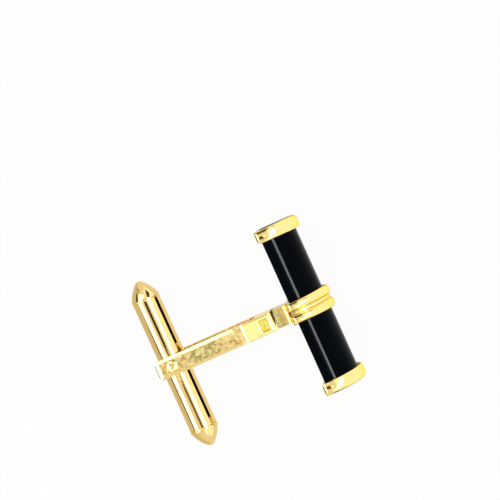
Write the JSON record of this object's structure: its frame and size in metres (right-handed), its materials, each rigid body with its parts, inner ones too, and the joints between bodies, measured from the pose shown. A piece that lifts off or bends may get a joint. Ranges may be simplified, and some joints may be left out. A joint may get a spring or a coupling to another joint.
{
  "type": "cufflink",
  "caption": "Bar cufflink: half-round black stone bar with polished gold caps and ribbed centre band, on a two-arm post with a swivelling bullet-shaped toggle.",
  "frame": {"origin": "on the post's axis, in the plane of the bar's back: the strap's back face, which the cuff lies against", "axes": "+X from the toggle to the crest of the bar, +Y along the bar, +Z along the swivel pin, which points up as the cufflink lies on its side"},
  "size_m": [0.02, 0.019, 0.0082],
  "materials": {
    "gold": "polished yellow gold",
    "gold_satin": "fine satin yellow gold with polished bevels",
    "onyx": "highly polished black onyx",
    "spring_steel": "bright hard-rolled steel"
  },
  "bodies": {
    "root": {"stone_upper": "onyx", "stone_lower": "onyx", "end_cap_upper": "gold", "end_cap_lower": "gold", "core_rod": "gold", "band_web": "gold", "band_ring_upper": "gold", "band_ring_lower": "gold", "back_strap": "gold", "post_neck": "gold", "post_block": "gold", "frame_arm_front": "gold_satin", "frame_arm_rear": "gold_satin", "pivot_pin": "gold", "detent_cam": "spring_steel"},
    "toggle": {"toggle_tube": "gold", "toggle_tip_upper": "gold", "toggle_tip_lower": "gold", "detent_spring_outer": "spring_steel", "detent_spring_inner": "spring_steel"}
  },
  "joints": [
    {"name": "toggle_swivel", "type": "hinge", "parent": "root", "child": "toggle", "pos_m": [-0.0135, 0, 0], "axis": [0, 0, 1], "range_deg": [-90, 90], "deforming": ["detent_spring_outer", "detent_spring_inner"]}
  ]
}
